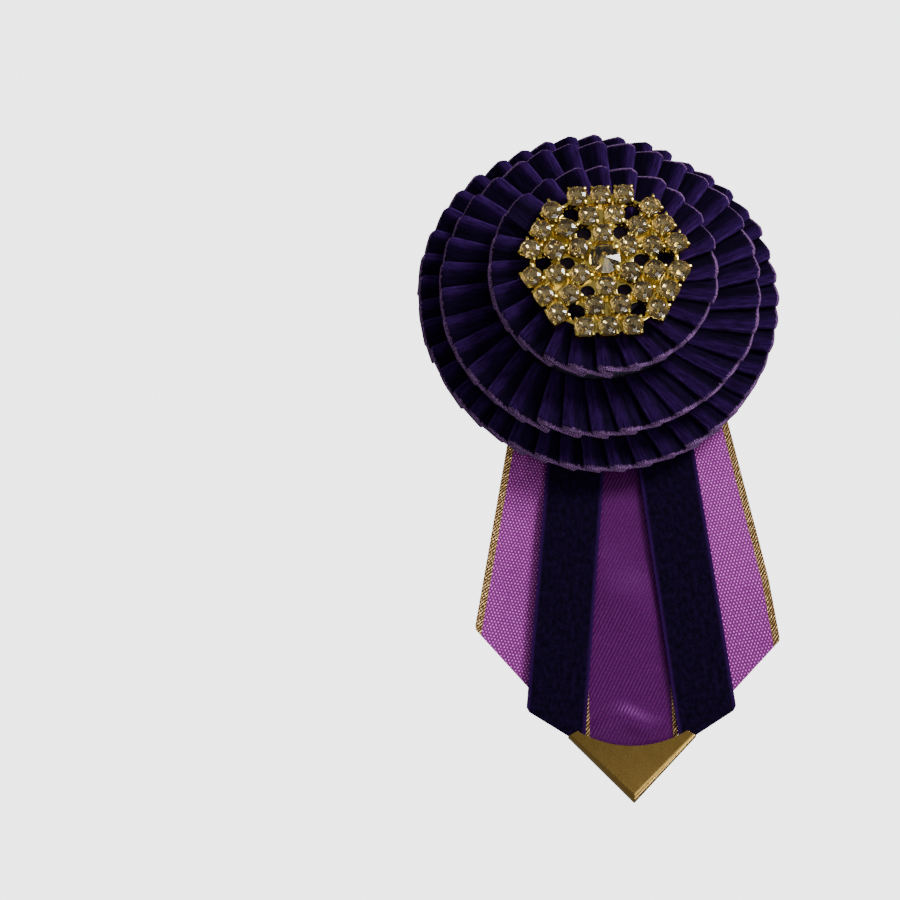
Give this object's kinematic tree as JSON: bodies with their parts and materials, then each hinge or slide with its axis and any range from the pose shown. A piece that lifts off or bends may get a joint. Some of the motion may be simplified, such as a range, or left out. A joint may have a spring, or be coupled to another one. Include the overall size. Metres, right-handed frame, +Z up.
{
  "type": "award ribbon rosette",
  "caption": "Award rosette with stacked tiers of pleated velvet ribbon, a crystal brooch at its centre, fanned satin and velvet tails in a brass tip, and a brooch pin on its felt back.",
  "frame": {"origin": "middle of the felt's rear face, where the rosette lies against what it is pinned to", "axes": "+Y out of the felt back, so the front faces -Y; +Z up, with the tails hanging down -Z; +X to the right of a viewer in front"},
  "size_m": [0.063, 0.0295, 0.1176],
  "materials": {
    "velvet": "deep violet cut-pile velvet with a lilac woven selvage",
    "satin": "purple satin ribbon, shiny face out, gold thread edges",
    "satin_back": "orchid satin ribbon, matt woven back out, gold thread edges",
    "felt": "dark violet wool felt",
    "pad_felt": "dark stiff felt",
    "card": "uncoated stiff card",
    "gilt": "bright gilt casting",
    "crystal": "faceted, foiled behind, faintly champagne",
    "brass": "rolled sheet brass, softly brushed",
    "pin_steel": "nickel-plated steel"
  },
  "bodies": {
    "rosette": {"felt_back": "felt", "backing_card": "card", "lower_pad": "pad_felt", "upper_pad": "pad_felt", "brooch_pad": "pad_felt", "outer_pleats": "velvet", "middle_pleats": "velvet", "inner_pleats": "velvet", "brooch_frame": "gilt", "crystal_centre": "crystal", "crystal_a1": "crystal", "crystal_a2": "crystal", "crystal_a3": "crystal", "crystal_a4": "crystal", "crystal_a5": "crystal", "crystal_a6": "crystal", "crystal_b1": "crystal", "crystal_b2": "crystal", "crystal_b3": "crystal", "crystal_b4": "crystal", "crystal_b5": "crystal", "crystal_b6": "crystal", "crystal_c1": "crystal", "crystal_c2": "crystal", "crystal_c3": "crystal", "crystal_c4": "crystal", "crystal_c5": "crystal", "crystal_c6": "crystal", "crystal_d1": "crystal", "crystal_d2": "crystal", "crystal_d3": "crystal", "crystal_d4": "crystal", "crystal_d5": "crystal", "crystal_d6": "crystal", "crystal_e1": "crystal", "crystal_e2": "crystal", "crystal_e3": "crystal", "crystal_e4": "crystal", "crystal_e5": "crystal", "crystal_e6": "crystal", "crystal_f1": "crystal", "crystal_f2": "crystal", "crystal_f3": "crystal", "crystal_f4": "crystal", "crystal_f5": "crystal", "crystal_f6": "crystal", "pin_base": "pin_steel", "pin_rivet": "pin_steel"},
    "tails": {"tail_satin_left": "satin_back", "tail_satin_right": "satin_back", "tail_satin_centre": "satin", "tail_velvet_left": "velvet", "tail_velvet_right": "velvet", "tail_tip": "brass"},
    "needle": {"pin_needle": "pin_steel"},
    "catch": {"safety_catch": "pin_steel"}
  },
  "joints": [
    {"name": "tails_swing", "type": "hinge", "parent": "rosette", "child": "tails", "pos_m": [0.003, -0.00256, -0.0262], "axis": [1, 0, 0], "range_deg": [-18, 75]},
    {"name": "needle_open", "type": "hinge", "parent": "rosette", "child": "needle", "pos_m": [0.0135, 0.0034, 0.009], "axis": [0, 0, -1], "range_deg": [0, 100]},
    {"name": "catch_turn", "type": "hinge", "parent": "rosette", "child": "catch", "pos_m": [-0.0124, 0.0034, 0.009], "axis": [-1, 0, 0], "range_deg": [0, 100]}
  ]
}
